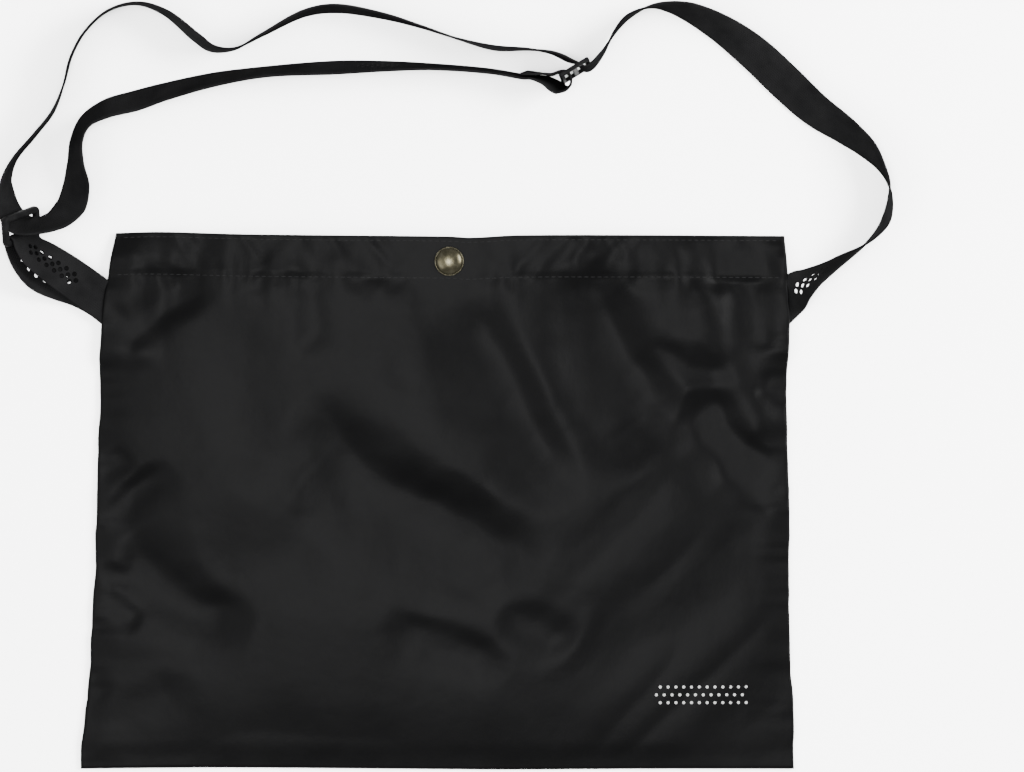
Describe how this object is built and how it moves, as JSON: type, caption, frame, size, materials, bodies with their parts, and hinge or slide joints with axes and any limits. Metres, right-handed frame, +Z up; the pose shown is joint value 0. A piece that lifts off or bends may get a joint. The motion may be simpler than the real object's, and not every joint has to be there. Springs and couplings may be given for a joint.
{
  "type": "cycling musette bag",
  "caption": "Flat rectangular cloth shoulder pouch lying on its back, open along the mouth, with a press stud and a webbing strap that runs through a ring and a slider.",
  "frame": {"origin": "middle of the back panel's underside, where the bag rests on the surface", "axes": "+X to the bag's right, +Y from the bottom seam towards the mouth, +Z up out of the front panel"},
  "size_m": [0.4583, 0.3934, 0.0258],
  "materials": {
    "cloth": "black plain-weave nylon with a soft sheen",
    "webbing": "black ribbed webbing, matt",
    "moulded": "black moulded plastic, satin",
    "stud_metal": "dark antique metal, brushed"
  },
  "bodies": {
    "root": {"back_panel": "cloth", "front_panel": "cloth", "strap": "webbing", "left_tab": "webbing", "ring": "moulded", "slider": "moulded", "snap_cap": "stud_metal", "snap_stud": "stud_metal"}
  },
  "joints": []
}
